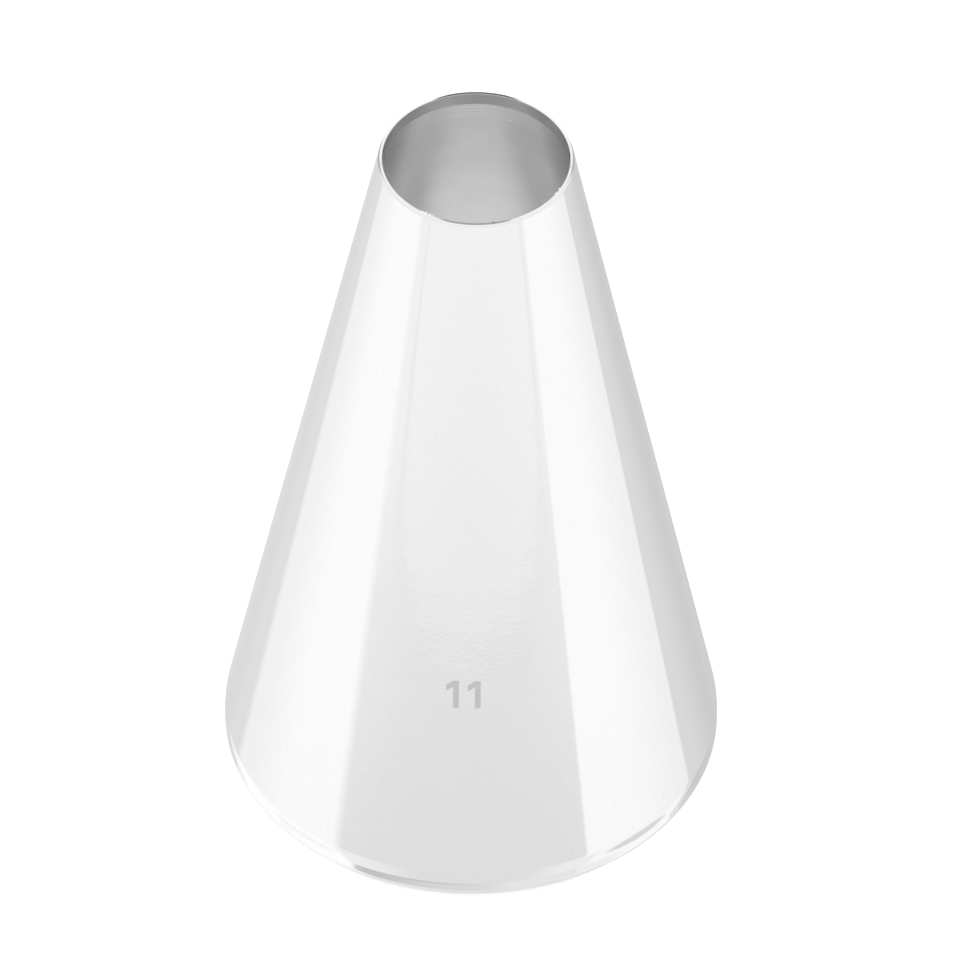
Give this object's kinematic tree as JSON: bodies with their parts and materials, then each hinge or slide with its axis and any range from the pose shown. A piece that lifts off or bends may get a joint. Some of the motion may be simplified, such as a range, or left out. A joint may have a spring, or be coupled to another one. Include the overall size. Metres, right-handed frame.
{
  "type": "piping nozzle",
  "caption": "Plain round piping nozzle: a thin steel cone with a reamed round mouth at its narrow end and an inward-rolled hem at its base.",
  "frame": {"origin": "centre of the base, on the surface that the nozzle stands on", "axes": "+Z along the nozzle's axis, from the base towards the mouth; X and Y are free, since the nozzle is round"},
  "size_m": [0.03, 0.03, 0.047],
  "materials": {
    "cone_wall": "polished outside, drawn satin inside",
    "rolled_hem": "polished outside"
  },
  "bodies": {
    "root": {"cone_wall": "cone_wall", "rolled_hem": "rolled_hem"}
  },
  "joints": []
}
